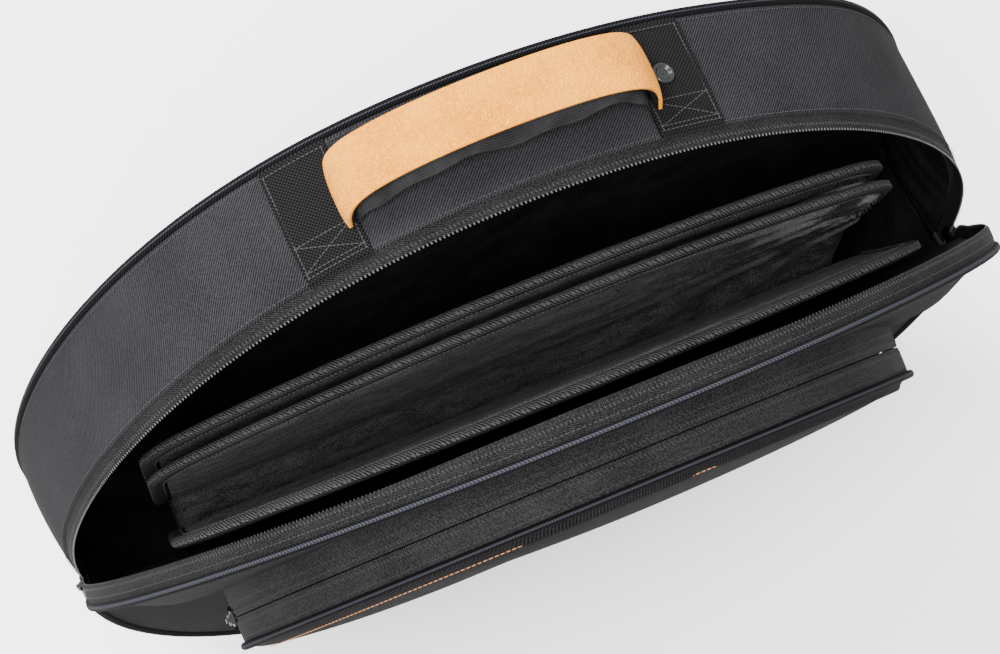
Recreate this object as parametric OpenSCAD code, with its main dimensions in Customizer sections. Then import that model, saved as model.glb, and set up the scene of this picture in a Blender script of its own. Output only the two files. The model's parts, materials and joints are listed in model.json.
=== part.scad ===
// Round padded cymbal bag with three dividers, a front pocket and a suede carry handle.
// It stands on a flat at the bottom of its rim. X is across, -Y is the front, Z is up.
// The origin is the middle of the flat it stands on, at the back face.
// Angles round the rim are measured from the top, positive towards +X.

/* [Case] */
// Radius of the round case, outside the rim fabric
case_r = 300; // [280:1:320]
// Height of the round part cut away to give the case a flat to stand on
foot_cut = 12; // [8:1:16]
// Depth of the closed case, back face to front face
case_depth = 104; // [100:1:112]
// Thickness of the padded rim
rim_wall = 5; // [4:0.5:6]
// Thickness of the woven lining
lining_t = 1; // [0.8:0.1:1.2]
// Thickness of the foam in the back and front panels
foam_t = 6; // [4:0.5:7]
// Thickness of the outer fabric on the panels
cover_t = 1.5; // [1:0.1:2]
// Width of the piping round each panel
piping_w = 7; // [6:0.5:8]

/* [Main zip] */
// Distance from the back face to the front edge of the upper rim fabric
rim_edge = 76; // [72:1:78]
// Angle from the top at which the zip ends, each side
zip_end = 98.6; // [98:0.2:99.4]
// Angle from the top at which each slider is parked
slider_park = 95.6; // [95.2:0.1:96]
// Height of the fold line of the front panel above the flat
fold_z = 268; // [264:1:269]
// Forward lean of the open front panel
front_lean = 20.5; // [19:0.5:24]

/* [Front pocket] */
// Radius of the pocket outline
pocket_r = 222; // [205:1:226]
// Depth of the pocket, panel to face
pocket_depth = 30; // [27:1:34]
// Gap between the panel's fold and the bottom of the pocket
pocket_lift = 8; // [8:1:14]
// Distance of the top of the pocket from the panel, which swells there
pocket_set = 5.5; // [4:0.5:7]
// Angle by which the pocket stands more upright than the panel
pocket_tilt = 4.8; // [4:0.1:5]

/* [Dividers] */
// Half of the width of a divider
divider_half = 240; // [225:1:242]
// Height of the top of the upright dividers above the case centre
divider_top = 205; // [190:1:212]
// Thickness of a divider
divider_t = 5; // [4:0.5:6]
// Width of the binding round a divider's edge
binding_w = 9; // [8:0.5:11]
// Thickness over the binding
binding_t = 7; // [6:0.5:8]

/* [Handle] */
// Half of the length of the handle
handle_half = 97; // [92:1:98]
// Height of the top of the handle above the rim
handle_rise = 34; // [30:1:38]
// Width of the suede grip
grip_w = 40; // [36:1:42]
// Distance from the back face to the middle of the handle
handle_y = 40; // [38:1:42]
// Angle from the top to the inner edge of each webbing patch
patch_in = 16.2; // [16:0.1:16.5]
// Angle from the top to the outer edge of each webbing patch
patch_out = 23.8; // [23:0.1:24]
// Angle from the top to each rivet
rivet_at = 19.4; // [19:0.1:19.8]

/* [Hidden] */
$fn = 96;

centre_z = case_r - foot_cut;
far = 3 * case_r;
cut_gap = 0.5;
panel_t = cover_t + foam_t + lining_t;

// Layers of the main zip, as distances behind the back face and below the rim surface
tape_t = 1.5;
tape_drop = 1.5;
coil_w = 1.6;
coil_t = 2.2;
coil_gap = 1.2;
body_tape_end = rim_edge + 8.4;
body_coil_end = body_tape_end + coil_w;
front_coil_start = body_coil_end + coil_gap;
front_tape_start = front_coil_start + coil_w;
front_tape_end = case_depth - piping_w;
zip_middle = (body_coil_end + front_coil_start) / 2;
coil_r = case_r - tape_drop - tape_t / 2;

// Layers of the pocket, as distances in front of the panel face
pocket_seam = 12;
pocket_piping_w = 5;
pocket_face_t = 2;
pocket_coil_r = pocket_r - tape_drop - tape_t / 2;
pocket_base_z = fold_z + pocket_lift;
pocket_zip_end = 90.4;
pocket_park = 88;
pocket_tape_end = 92.8;
pocket_tab_at = 92;

// One divider per row: distance behind the back face, height of its fold, lean
dividers = [[44, 267, 12.5], [56, 265, 13], [86, 279, 20]];
divider_arc = 400;
divider_corner = 60;
web_gap = 4;
binding_gap = 4;

handle_arc = 230;
handle_corner = 38;
handle_pivot_z = centre_z + case_r - 8;
handle_cut_z = handle_pivot_z + 10;
grip_t = 4;
core_t = 3;
core_w = grip_w - 4;
patch_t = 1.6;
shank_r = 2;
shank_clear = 0.05;

fabric = [0.11, 0.11, 0.12];
tape_black = [0.07, 0.07, 0.08];
lining_black = [0.05, 0.05, 0.055];
foam_grey = [0.35, 0.35, 0.36];
suede_tan = [0.90, 0.69, 0.47];
silver = [0.75, 0.76, 0.78];

// ---- Flat shapes, drawn in the XZ plane ----

// The case outline, reduced all round by inset
module case_shape(inset) {
    intersection() {
        translate([0, centre_z]) circle(case_r - inset);
        translate([-far / 2, max(0, inset)]) square([far, far]);
    }
}

module case_ring(outer_inset, inner_inset) {
    difference() {
        case_shape(outer_inset);
        case_shape(inner_inset);
    }
}

module above(z) { translate([-far / 2, z]) square([far, far]); }

module below(z) { translate([-far / 2, z - far]) square([far, far]); }

// The part of the plane within the angle a of straight up, seen from the case centre
module top_sector(a) {
    polygon([[0, centre_z], for (i = [-4 : 4])
        [far * sin(a * i / 4), centre_z + far * cos(a * i / 4)]]);
}

// A board with straight sides, round shoulders and a gently arched top, all tangent
module arched_shape(half, top, arc, corner, inset) {
    arc_z = top - arc;
    shoulder_x = half - corner;
    reach = arc - corner;
    shoulder_z = arc_z + sqrt(reach * reach - shoulder_x * shoulder_x);
    lean = asin(shoulder_x / reach);
    steps = 10;
    shoulder = [for (i = [0 : steps]) let (a = 90 + (lean - 90) * i / steps)
        [shoulder_x + (corner - inset) * sin(a), shoulder_z + (corner - inset) * cos(a)]];
    crown = [for (i = [1 : 2 * steps - 1]) let (a = lean * (1 - i / steps))
        [(arc - inset) * sin(a), arc_z + (arc - inset) * cos(a)]];
    far_shoulder = [for (i = [steps : -1 : 0]) [-shoulder[i][0], shoulder[i][1]]];
    polygon(concat([[half - inset, -far]], shoulder, crown, far_shoulder,
        [[inset - half, -far]]));
}

module divider_shape(inset) {
    translate([0, centre_z])
        arched_shape(divider_half, divider_top, divider_arc, divider_corner, inset);
}

module handle_shape(inset) {
    translate([0, centre_z])
        arched_shape(handle_half, case_r + handle_rise, handle_arc, handle_corner, inset);
}

module pocket_circle(inset) { translate([0, centre_z]) circle(pocket_r - inset); }

module pocket_ring(outer_inset, inner_inset) {
    difference() {
        pocket_circle(outer_inset);
        pocket_circle(inner_inset);
    }
}

// ---- Placing ----

// Turns a flat XZ shape into a slab from y = -start to y = -end
module slab(start, end) {
    translate([0, -start, 0]) rotate([90, 0, 0]) linear_extrude(end - start) children();
}

// Moves a piece drawn with the front closed to where the open front holds it
module on_open_front() {
    translate([0, -case_depth, fold_z]) rotate([front_lean, 0, 0])
        translate([0, case_depth, -fold_z]) children();
}

// Moves a piece of the pocket, drawn parallel to the panel, to where the pocket hangs
module in_pocket_place() {
    top_z = centre_z + pocket_r;
    translate([0, -case_depth - pocket_set, top_z]) rotate([-pocket_tilt, 0, 0])
        translate([0, case_depth, -top_z]) children();
}

module on_pocket() { on_open_front() in_pocket_place() children(); }

// The same, for a piece that runs back to the panel and is cut off at its face
module on_pocket_from_panel() {
    on_open_front() intersection() {
        in_pocket_place() children();
        translate([-far / 2, -case_depth - far, 0]) cube([far, far, far]);
    }
}

// Places a piece on the rim: local X runs round the rim, Y stays, Z points outwards
module on_rim(angle, radius) {
    translate([0, 0, centre_z]) rotate([0, angle, 0]) translate([0, 0, radius]) children();
}

// ---- Back of the case ----

module back_cover() { color(fabric) slab(0, cover_t) case_shape(piping_w - 1); }

module back_foam() {
    color(foam_grey) slab(cover_t, cover_t + foam_t) case_shape(piping_w - 1);
}

module back_lining() {
    color(lining_black) slab(cover_t + foam_t, panel_t) case_shape(piping_w - 1);
}

module back_piping() { color(tape_black) slab(0, piping_w) case_ring(-1, piping_w - 1); }

// ---- Rim ----

module rivet_holes(r) {
    for (side = [-1, 1])
        translate([0, -handle_y, 0]) on_rim(side * rivet_at, case_r - 20) cylinder(40, r, r);
}

module upper_gusset() {
    color(fabric) difference() {
        slab(piping_w, rim_edge) intersection() {
            case_ring(0, rim_wall);
            top_sector(zip_end);
        }
        rivet_holes(shank_r + shank_clear);
    }
}

module lower_gusset() {
    color(fabric) slab(piping_w, front_tape_end) difference() {
        case_ring(0, rim_wall);
        top_sector(zip_end);
    }
}

module upper_gusset_lining() {
    color(lining_black) difference() {
        slab(panel_t, rim_edge) intersection() {
            case_ring(rim_wall, rim_wall + lining_t);
            top_sector(zip_end);
        }
        rivet_holes(shank_r + shank_clear);
    }
}

module lower_gusset_lining() {
    color(lining_black) slab(panel_t, front_tape_end) difference() {
        case_ring(rim_wall, rim_wall + lining_t);
        top_sector(zip_end);
    }
}

// ---- Main zip, the half that stays on the case ----

module body_zip_tape() {
    color(tape_black) slab(rim_edge, body_tape_end) intersection() {
        case_ring(tape_drop, tape_drop + tape_t);
        top_sector(zip_end);
    }
}

module coil_ring(radius) {
    translate([0, centre_z]) difference() {
        circle(radius + coil_t / 2);
        circle(radius - coil_t / 2);
    }
}

module body_zip_coil() {
    color(tape_black) slab(body_tape_end, body_coil_end) intersection() {
        coil_ring(coil_r);
        top_sector(zip_end);
    }
}

// The short stretch of the front half of the zip below the fold, which never opens
module zip_closed_ends() {
    color(tape_black) {
        slab(front_tape_start, front_tape_end) intersection() {
            case_ring(tape_drop, tape_drop + tape_t);
            top_sector(zip_end);
            below(fold_z - cut_gap);
        }
        slab(front_coil_start, front_tape_start) intersection() {
            coil_ring(coil_r);
            top_sector(zip_end);
            below(fold_z - cut_gap);
        }
    }
}

// Folded fabric that covers the last teeth inside each end of the zip
module zip_end_tabs() {
    tab_w = 16;
    tab_l = 14;
    color(fabric) for (side = [-1, 1])
        translate([0, -zip_middle, 0])
            on_rim(side * (zip_end + 1.6), case_r + 0.8)
                cube([tab_l, tab_w, 1.4], center = true);
}

// ---- Front of the case below the fold ----

module lower_front(start, end) {
    slab(start, end) intersection() {
        case_shape(piping_w - 1);
        below(fold_z - cut_gap);
    }
}

module lower_front_cover() { color(fabric) lower_front(case_depth - cover_t, case_depth); }

module lower_front_foam() {
    color(foam_grey) lower_front(case_depth - cover_t - foam_t, case_depth - cover_t);
}

module lower_front_lining() {
    color(lining_black) lower_front(case_depth - panel_t, case_depth - cover_t - foam_t);
}

module lower_front_piping() {
    color(tape_black) slab(front_tape_end, case_depth) intersection() {
        case_ring(-1, piping_w - 1);
        below(fold_z - cut_gap);
    }
}

// ---- Handle ----

module handle_patch(side) {
    middle = side * (patch_in + patch_out) / 2;
    color(tape_black) difference() {
        translate([0, 0, centre_z]) rotate([90, 0, 0])
            translate([0, 0, piping_w]) rotate([0, 0, 90 - middle - (patch_out - patch_in) / 2])
                rotate_extrude(angle = patch_out - patch_in)
                    translate([case_r, 0]) square([patch_t, rim_edge - piping_w]);
        rivet_holes(shank_r + shank_clear);
    }
}

module left_handle_patch() { handle_patch(-1); }

module right_handle_patch() { handle_patch(1); }

// Dished cap with a raised edge, and the shank that holds it
module rivet_cap() {
    cap_r = 6.5;
    cap_h = 2.6;
    shank_l = rim_wall + lining_t + patch_t + 1.2;
    difference() {
        cylinder(cap_h, cap_r, cap_r - 0.8);
        translate([0, 0, cap_h - 1]) cylinder(2, cap_r - 2.2, cap_r - 1.6);
    }
    translate([0, 0, -shank_l]) cylinder(shank_l + 0.5, shank_r, shank_r);
}

module rivet_caps() {
    color([0.1, 0.1, 0.1]) for (side = [-1, 1])
        translate([0, -handle_y, 0])
            on_rim(side * rivet_at, case_r + patch_t + 0.2) rivet_cap();
}

module rivet_washers() {
    washer_t = 1;
    color(silver) for (side = [-1, 1])
        translate([0, -handle_y, 0])
            on_rim(side * rivet_at, case_r - rim_wall - lining_t - washer_t - 0.2)
                difference() {
                    cylinder(washer_t, 6, 6);
                    translate([0, 0, -1]) cylinder(4, shank_r + shank_clear, shank_r + shank_clear);
                }
}

// The ends of the carry strap, sewn down on the patches beside the rivets
module handle_strap_ends() {
    strap_t = 1.5;
    color(tape_black) for (side = [-1, 1])
        translate([0, -handle_y, centre_z]) rotate([90, 0, 0])
            translate([0, 0, -core_w / 2]) rotate([0, 0, 90 - side * 16.6 - 1])
                rotate_extrude(angle = 2)
                    translate([case_r + patch_t + 0.1, 0]) square([strap_t, core_w]);
}

module handle_band(outer_inset, inner_inset, width) {
    slab(handle_y - width / 2, handle_y + width / 2) intersection() {
        difference() {
            handle_shape(outer_inset);
            handle_shape(inner_inset);
        }
        above(handle_cut_z);
    }
}

module handle_grip() { color(suede_tan) handle_band(0, grip_t, grip_w); }

module handle_core() { color(tape_black) handle_band(grip_t, grip_t + core_t, core_w); }

module handle_lining() {
    color(lining_black) handle_band(grip_t + core_t, grip_t + core_t + 1.2, core_w - 2);
}

// ---- Dividers ----

// The fixed lower part of a divider, sewn to the lining below and open at the sides
module divider_web(n) {
    color(lining_black) slab(dividers[n][0] - divider_t / 2, dividers[n][0] + divider_t / 2)
        intersection() {
            case_shape(rim_wall + lining_t + 0.2);
            divider_shape(0);
            below(dividers[n][1] - web_gap);
        }
}

module on_leaning_divider(n) {
    translate([0, -dividers[n][0], dividers[n][1]]) rotate([dividers[n][2], 0, 0])
        translate([0, dividers[n][0], -dividers[n][1]]) children();
}

module divider_board(n) {
    inner_half = divider_half - binding_w;
    round_r = divider_t / 2 - 0.2;
    color(lining_black) on_leaning_divider(n) {
        slab(dividers[n][0] - divider_t / 2, dividers[n][0] + divider_t / 2) intersection() {
            divider_shape(binding_w);
            above(dividers[n][1]);
        }
        translate([-inner_half, -dividers[n][0], dividers[n][1]]) rotate([0, 90, 0])
            cylinder(2 * inner_half, round_r, round_r);
    }
}

module divider_binding(n) {
    color(tape_black) on_leaning_divider(n)
        slab(dividers[n][0] - binding_t / 2, dividers[n][0] + binding_t / 2) intersection() {
            difference() {
                divider_shape(0);
                divider_shape(binding_w);
            }
            above(dividers[n][1] + binding_gap);
        }
}

module divider_1_web() { divider_web(0); }
module divider_1_board() { divider_board(0); }
module divider_1_binding() { divider_binding(0); }
module divider_2_web() { divider_web(1); }
module divider_2_board() { divider_board(1); }
module divider_2_binding() { divider_binding(1); }
module divider_3_web() { divider_web(2); }
module divider_3_board() { divider_board(2); }
module divider_3_binding() { divider_binding(2); }

// ---- Front panel above the fold ----

module upper_front(start, end) {
    on_open_front() slab(start, end) intersection() {
        case_shape(piping_w - 1);
        above(fold_z + cut_gap);
    }
}

module front_cover() { color(fabric) upper_front(case_depth - cover_t, case_depth); }

module front_foam() {
    color(foam_grey) upper_front(case_depth - cover_t - foam_t, case_depth - cover_t);
}

module front_lining() {
    color(lining_black) upper_front(case_depth - panel_t, case_depth - cover_t - foam_t);
}

module front_piping() {
    color(tape_black) on_open_front() slab(front_tape_end, case_depth) intersection() {
        case_ring(-1, piping_w - 1);
        above(fold_z + cut_gap);
    }
}

module front_zip_tape() {
    color(tape_black) on_open_front() slab(front_tape_start, front_tape_end) intersection() {
        case_ring(tape_drop, tape_drop + tape_t);
        above(fold_z + cut_gap);
    }
}

module front_zip_coil() {
    color(tape_black) on_open_front() slab(front_coil_start, front_tape_start) intersection() {
        coil_ring(coil_r);
        above(fold_z + cut_gap);
    }
}

// ---- Front pocket ----

pocket_back = case_depth - 40;
pocket_rear_coil_start = case_depth + pocket_seam;
pocket_rear_coil_end = pocket_rear_coil_start + coil_w;
pocket_front_coil_start = pocket_rear_coil_end + coil_gap;
pocket_front_tape_start = pocket_front_coil_start + coil_w;
pocket_front = case_depth + pocket_depth + pocket_piping_w;
pocket_front_tape_end = pocket_front - pocket_piping_w;
pocket_zip_middle = (pocket_rear_coil_end + pocket_front_coil_start) / 2;

module pocket_band(start, end, outer_inset, inner_inset, angle) {
    slab(start, end) intersection() {
        pocket_ring(outer_inset, inner_inset);
        top_sector(angle);
        above(pocket_base_z + cut_gap);
    }
}

module pocket_rear_tape() {
    color(tape_black) on_pocket_from_panel()
        pocket_band(pocket_back, pocket_rear_coil_start, tape_drop, tape_drop + tape_t,
            pocket_tape_end);
}

module pocket_rear_coil() {
    color(tape_black) on_pocket()
        slab(pocket_rear_coil_start, pocket_rear_coil_end) intersection() {
            coil_ring(pocket_coil_r);
            top_sector(pocket_zip_end);
        }
}

// The floor of the pocket, sewn to the panel along its back edge
module pocket_bottom_strip() {
    floor_t = 2;
    color(fabric) on_pocket_from_panel() slab(pocket_back, pocket_front - 1) intersection() {
        pocket_circle(tape_drop + tape_t + 2);
        above(pocket_base_z - floor_t);
        below(pocket_base_z);
    }
}

// Folded fabric at each end of the pocket zip
module pocket_end_tabs() {
    color(fabric) on_pocket() for (side = [-1, 1])
        translate([0, -pocket_zip_middle, 0])
            on_rim(side * pocket_tab_at, pocket_r - 0.4)
                cube([9, 14, 1.6], center = true);
}

module pocket_face() {
    color(fabric) on_pocket() slab(pocket_front - pocket_face_t, pocket_front)
        intersection() {
            pocket_circle(pocket_piping_w - 1);
            above(pocket_base_z + cut_gap);
        }
}

module pocket_front_tape() {
    color(tape_black) on_pocket()
        pocket_band(pocket_front_tape_start, pocket_front_tape_end, tape_drop,
            tape_drop + tape_t, pocket_tape_end);
}

module pocket_front_coil() {
    color(tape_black) on_pocket()
        slab(pocket_front_coil_start, pocket_front_tape_start) intersection() {
            coil_ring(pocket_coil_r);
            top_sector(pocket_zip_end);
        }
}

module pocket_piping() {
    color(tape_black) on_pocket()
        pocket_band(pocket_front_tape_end, pocket_front, -1, pocket_piping_w - 1, 120);
}

// ---- Zip sliders and pullers ----

slider_l = 11;
slider_w = 9.6;
plate_t = 1.3;
plate_clear = 0.6;
bridge_t = 0.8;
crown_l = 7.6;
crown_w = 2.6;
crown_h = 3.6;
crown_wall = 1.1;
bar_r = 0.8;
pivot_h = coil_t / 2 + plate_clear + plate_t + bar_r + 0.5;
puller_l = 27;
puller_w = 6.4;
puller_t = 1.5;

// A slider astride the coils, which run along local X at local Z = 0
module slider() {
    top_z = coil_t / 2 + plate_clear;
    color(silver) {
        for (z = [top_z, -top_z - plate_t])
            translate([-slider_l / 2, -slider_w / 2, z]) cube([slider_l, slider_w, plate_t]);
        translate([-3, -bridge_t / 2, -top_z - 0.2])
            cube([6, bridge_t, 2 * top_z + 0.4]);
        translate([-crown_l / 2, -crown_w / 2, top_z + plate_t - 0.2]) difference() {
            cube([crown_l, crown_w, crown_h + 0.2]);
            translate([crown_wall, -1, 0.2])
                cube([crown_l - 2 * crown_wall, crown_w + 2, crown_h - crown_wall]);
        }
    }
}

// A puller turned by angle about the bar that passes through the slider's crown
module puller(angle) {
    arm_w = 1.4;
    arm_in = crown_w / 2 + 0.5;
    plate_start = 6;
    color(silver) translate([0, 0, pivot_h]) rotate([0, angle, 0]) {
        translate([0, -arm_in - arm_w / 2, 0]) rotate([-90, 0, 0])
            cylinder(2 * arm_in + arm_w, bar_r, bar_r);
        for (side = [-1, 1])
            translate([-bar_r, side * (arm_in + arm_w / 2) - arm_w / 2, -bar_r])
                cube([plate_start + bar_r + 0.5, arm_w, 2 * bar_r]);
        difference() {
            translate([plate_start, -puller_w / 2, -puller_t / 2])
                cube([puller_l - plate_start, puller_w, puller_t]);
            translate([puller_l - 5, 0, -2]) cylinder(4, 1.6, 1.6);
        }
    }
}

// Each parked puller hangs straight down, a little clear of the rim
hang = slider_park - 90;

module left_slider() {
    translate([0, -zip_middle, 0]) on_rim(-slider_park, coil_r) slider();
}

module left_puller() {
    translate([0, -zip_middle, 0]) on_rim(-slider_park, coil_r) puller(180 + hang);
}

module right_slider() {
    translate([0, -zip_middle, 0]) on_rim(slider_park, coil_r) slider();
}

module right_puller() {
    translate([0, -zip_middle, 0]) on_rim(slider_park, coil_r) puller(-hang);
}

module pocket_slider() {
    on_pocket() translate([0, -pocket_zip_middle, 0])
        on_rim(-pocket_park, pocket_coil_r) slider();
}

module pocket_puller() {
    on_pocket() translate([0, -pocket_zip_middle, 0])
        on_rim(-pocket_park, pocket_coil_r) puller(180 + pocket_park - 90);
}

back_cover();
back_foam();
back_lining();
back_piping();
upper_gusset();
lower_gusset();
upper_gusset_lining();
lower_gusset_lining();
body_zip_tape();
body_zip_coil();
zip_closed_ends();
zip_end_tabs();
lower_front_cover();
lower_front_foam();
lower_front_lining();
lower_front_piping();
left_handle_patch();
right_handle_patch();
rivet_caps();
rivet_washers();
handle_strap_ends();
handle_core();
handle_grip();
handle_lining();
divider_1_web();
divider_1_board();
divider_1_binding();
divider_2_web();
divider_2_board();
divider_2_binding();
divider_3_web();
divider_3_board();
divider_3_binding();
front_cover();
front_foam();
front_lining();
front_piping();
front_zip_tape();
front_zip_coil();
pocket_rear_tape();
pocket_rear_coil();
pocket_bottom_strip();
pocket_end_tabs();
pocket_face();
pocket_front_tape();
pocket_front_coil();
pocket_piping();
left_slider();
left_puller();
right_slider();
right_puller();
pocket_slider();
pocket_puller();
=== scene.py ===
"""Looks of the round padded cymbal bag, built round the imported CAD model.

Metres, in the frame of the CAD: X across, -Y out of the front, Z up.
"""
import json
from math import acos, asin, atan2, cos, pi, radians, sin, sqrt

import bmesh
import bpy
import numpy as np
from mathutils import Matrix, Vector

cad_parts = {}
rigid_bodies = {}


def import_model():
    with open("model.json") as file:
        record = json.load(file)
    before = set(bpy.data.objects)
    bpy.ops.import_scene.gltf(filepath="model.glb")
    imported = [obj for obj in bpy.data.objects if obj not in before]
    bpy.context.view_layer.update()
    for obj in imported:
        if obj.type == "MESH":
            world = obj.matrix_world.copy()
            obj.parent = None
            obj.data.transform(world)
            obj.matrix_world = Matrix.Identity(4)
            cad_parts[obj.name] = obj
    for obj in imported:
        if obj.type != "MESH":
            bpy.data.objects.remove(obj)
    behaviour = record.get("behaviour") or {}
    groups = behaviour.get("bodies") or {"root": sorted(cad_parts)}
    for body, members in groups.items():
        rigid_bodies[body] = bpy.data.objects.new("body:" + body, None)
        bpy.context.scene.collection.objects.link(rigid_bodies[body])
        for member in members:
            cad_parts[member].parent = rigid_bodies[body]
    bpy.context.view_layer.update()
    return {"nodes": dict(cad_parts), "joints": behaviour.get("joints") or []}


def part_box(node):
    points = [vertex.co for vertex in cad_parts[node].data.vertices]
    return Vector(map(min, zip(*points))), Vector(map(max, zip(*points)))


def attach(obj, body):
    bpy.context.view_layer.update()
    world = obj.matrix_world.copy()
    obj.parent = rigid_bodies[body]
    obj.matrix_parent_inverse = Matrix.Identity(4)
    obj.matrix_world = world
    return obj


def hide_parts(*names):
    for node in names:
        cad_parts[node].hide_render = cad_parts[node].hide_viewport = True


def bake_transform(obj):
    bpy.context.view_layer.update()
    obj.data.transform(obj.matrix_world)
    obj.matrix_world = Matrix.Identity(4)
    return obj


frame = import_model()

TAU = 2 * pi
MM = 0.001

# ---- sizes: from the frame, and then those that no box in it gives

JOINTS = {joint["name"]: joint for joint in frame["joints"]}
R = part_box("upper_gusset")[1].x
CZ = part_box("upper_gusset")[1].z - R
ZIP_END = acos((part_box("upper_gusset")[0].z - CZ) / R)
RIM_START = -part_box("upper_gusset")[1].y
RIM_EDGE = -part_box("upper_gusset")[0].y
BODY_TAPE_END = -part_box("body_zip_tape")[0].y
BODY_COIL_END = -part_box("body_zip_coil")[0].y
LOWER_RIM_EDGE = -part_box("lower_gusset")[0].y
FRONT_COIL_START = -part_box("zip_closed_ends")[1].y
DEPTH = -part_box("lower_front_cover")[0].y
PANEL_T = -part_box("back_lining")[0].y
FOLD = Vector(JOINTS["front_fold"]["pos_m"])
HANDLE_Y = -0.5 * (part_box("handle_grip")[0].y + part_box("handle_grip")[1].y)
HANDLE_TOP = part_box("handle_grip")[1].z
PATCH_OUT = asin(-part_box("left_handle_patch")[0].x / (R + 1.6 * MM))
PATCH_IN = PATCH_OUT - radians(7.6)
RIVET_INNER_X = 93.5 * MM
RIVET_AT = asin(0.5 * (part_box("rivet_caps")[1].x + RIVET_INNER_X) / (R + 2 * MM))
POCKET_R = 222 * MM
POCKET_BASE = 276.5 * MM
POCKET_ZIP_END = radians(90.4)
POCKET_TOP = CZ + POCKET_R
POCKET_SET = 5.5 * MM
POCKET_DEPTHS = dict(rear=116 * MM, middle=118.2 * MM, front=120.4 * MM, tape_end=134 * MM, end=139 * MM)
SOFT_FLOOR = 4 * MM
TEETH_PITCH = 2.5 * MM
AT_EDGE = 0.9999
DIVIDER_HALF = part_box("divider_1_binding")[1].x
DIVIDER_TOP = CZ + 205 * MM
DIVIDER_ARC = 400 * MM
DIVIDER_CORNER = 60 * MM
BINDING_W = 9 * MM
TAPE_INNER = -2.8 * MM
SIDES = ((-1, "left"), (1, "right"))


# ---- placing

def smooth(t):
    t = np.clip(t, 0, 1)
    return t * t * (3 - 2 * t)


def stack(x, y, z):
    x, y, z = np.broadcast_arrays(x, y, z)
    return np.stack([x, y, z], axis=-1).astype(float)


def outline(phi, radius, floor):
    """A circle about the case centre, pressed flat at the height floor, as X and Z."""
    x = radius * np.sin(phi)
    height = CZ + radius * np.cos(phi) - floor
    pressed = SOFT_FLOOR * np.exp(np.minimum(height, SOFT_FLOOR) / SOFT_FLOOR - 1)
    return x, floor + np.where(height < SOFT_FLOOR, pressed, height)


def turn(points, pivot, angle):
    """Points turned about the line through pivot along X, by an angle or one angle per point."""
    dy, dz = points[..., 1] - pivot[1], points[..., 2] - pivot[2]
    c, s = np.cos(angle), np.sin(angle)
    return stack(points[..., 0], pivot[1] + dy * c - dz * s, pivot[2] + dy * s + dz * c)


class Bend:
    """Cloth that crosses a joint: laid out closed, and bent to the rest pose about the joint."""

    def __init__(self, joint, below, above):
        record = JOINTS[joint]
        self.bodies = (record["parent"], record["child"])
        self.pivot = np.array(record["pos_m"], float)
        self.angle = radians(-record["range_deg"][0])
        self.start = self.pivot - np.array([0, 0, below])
        self.end = turn(self.pivot + np.array([0, 0, above]), self.pivot, self.angle)

    def weight(self, points):
        along = self.end - self.start
        return smooth((points - self.start) @ along / (along @ along))

    def __call__(self, points):
        bent = np.where(points[..., 2:] > self.pivot[2], turn(points, self.pivot, self.angle), points)
        for _ in range(5):
            bent = turn(points, self.pivot, self.angle * self.weight(bent))
        return bent


front_bend = Bend("front_fold", 12 * MM, 32 * MM)


def opened(points):
    return turn(points, np.array(FOLD), front_bend.angle)


POCKET_AXIS = JOINTS["pocket_zip_travel"]["axis"]
POCKET_TILT = front_bend.angle - atan2(POCKET_AXIS[2], POCKET_AXIS[1])


def in_pocket_place(points):
    """Points drawn parallel to the closed panel, moved to where the pocket hangs on the open one."""
    hung = turn(points, (0, -DEPTH, POCKET_TOP), -POCKET_TILT) - np.array([0, POCKET_SET, 0])
    return opened(hung)


def on_rim(phi, out, depth):
    x, z = outline(phi, R + out, np.maximum(0, -out))
    return stack(x, -depth, z)


def bump_at(value, middle, width):
    return np.exp(-((value - middle) / width) ** 2)


def give(points):
    """The soft back edge of the case is out of round, most to its left; its zip edge keeps its place."""
    x, depth, height = points[..., 0], -points[..., 1], points[..., 2] - CZ
    phi = np.arctan2(x, height)
    amount = 11.5 * bump_at(phi, -1.88, 0.46) + 6.5 * bump_at(phi, -0.45, 0.40)
    amount = amount + 8.0 * bump_at(phi, 0.88, 0.26) - 9.0 * bump_at(phi, 1.52, 0.26)
    amount = amount * MM * (1 - np.clip(depth / BODY_COIL_END, 0, 1) ** 2) * np.hypot(x, height) / R
    return points + stack(amount * np.sin(phi), 0, amount * np.cos(phi))


def on_case(phi, out, depth):
    """On the rim of the case, whose mouth is drawn a little forward at its sides."""
    turned = np.where(np.abs(phi) > pi, np.abs(phi) - TAU, np.abs(phi))
    bump = smooth((turned - 0.25) / 0.9) * smooth((1.62 - turned) / 0.45)
    share = np.clip(depth / BODY_COIL_END, 0, 1)
    return give(on_rim(phi, out, depth + 3 * MM * bump * share))


def on_front(phi, out, depth):
    return front_bend(on_rim(phi, out, depth))


def on_pocket(phi, out, depth):
    x, z = outline(phi, POCKET_R + out, POCKET_BASE)
    return in_pocket_place(stack(x, -depth, z))


# ---- meshes

def link(name, data):
    """A new object in the scene for a mesh, a light or a camera."""
    built = bpy.data.objects.new(name, data)
    bpy.context.scene.collection.objects.link(built)
    return built


def edit(mesh, change):
    """Makes one change to a mesh, by way of bmesh."""
    whole = bmesh.new()
    whole.from_mesh(mesh)
    change(whole)
    whole.to_mesh(mesh)
    whole.free()


def make_object(name, verts, faces, uvs=None, weld=False):
    mesh = bpy.data.meshes.new(name)
    mesh.from_pydata(np.asarray(verts).reshape(-1, 3).tolist(), [], faces)
    if uvs is not None:
        layer = mesh.uv_layers.new(name="UVMap")
        layer.data.foreach_set("uv", np.asarray(uvs, np.float32).ravel())
    if weld:
        edit(mesh, lambda whole: bmesh.ops.remove_doubles(whole, verts=whole.verts, dist=1e-6))
    mesh.polygons.foreach_set("use_smooth", [True] * len(mesh.polygons))
    mesh.update()
    return link(name, mesh)


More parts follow.
